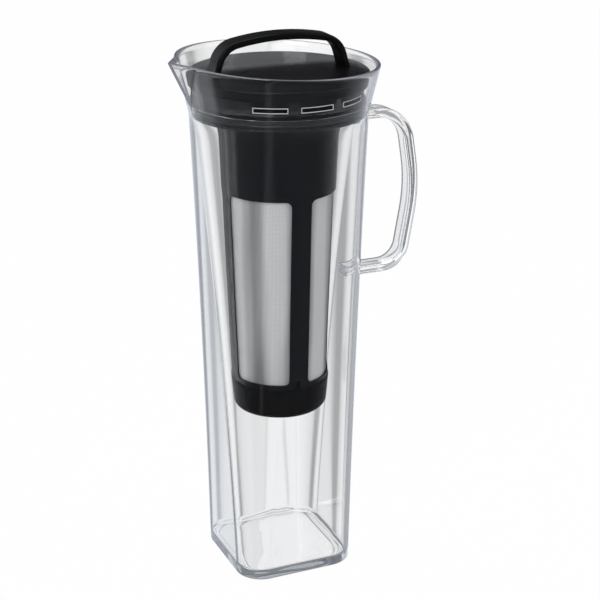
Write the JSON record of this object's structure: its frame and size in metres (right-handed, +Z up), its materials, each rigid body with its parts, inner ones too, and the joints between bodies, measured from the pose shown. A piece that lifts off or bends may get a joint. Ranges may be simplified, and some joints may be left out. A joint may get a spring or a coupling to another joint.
{
  "type": "cold brew coffee pitcher",
  "caption": "Clear plastic pitcher, square at the foot and round at the mouth, with a V spout, a side handle, a turning plug lid with a lifting loop and a hanging mesh brew filter.",
  "frame": {"origin": "centre of the flat base, on the pitcher's axis", "axes": "+Z up along the axis, +X towards the side handle, -X towards the spout, -Y front"},
  "size_m": [0.139, 0.105, 0.2937],
  "materials": {
    "clear_plastic": "gloss",
    "matte_black": "matte",
    "gloss_black": "gloss",
    "satin_black": "satin",
    "seal": "satin",
    "mesh": "fine woven mesh"
  },
  "bodies": {
    "pitcher": {"pitcher_body": "clear_plastic", "pitcher_handle": "clear_plastic"},
    "lid_seal": {"lid_gasket": "seal"},
    "lid": {"lid_cover": "matte_black", "lid_collar": "gloss_black", "lid_loop": "matte_black", "filter_o_ring": "seal"},
    "filter": {"filter_frame": "gloss_black", "base_o_ring": "seal", "filter_mesh_back_right": "mesh", "filter_mesh_back_left": "mesh", "filter_mesh_front_left": "mesh", "filter_mesh_front_right": "mesh"},
    "base_cap": {"filter_base_cap": "satin_black"}
  },
  "joints": [
    {"name": "lid_lift", "type": "slide", "parent": "pitcher", "child": "lid_seal", "axis": [0, 0, 1], "range_m": [0, 0.25]},
    {"name": "lid_turn", "type": "hinge", "parent": "lid_seal", "child": "lid", "pos_m": [0, 0, 0.257], "axis": [0, 0, 1], "continuous": true},
    {"name": "filter_pull", "type": "slide", "parent": "lid", "child": "filter", "axis": [0, 0, -1], "range_m": [0, 0.02]},
    {"name": "base_cap_pull", "type": "slide", "parent": "filter", "child": "base_cap", "axis": [0, 0, -1], "range_m": [0, 0.018]}
  ]
}
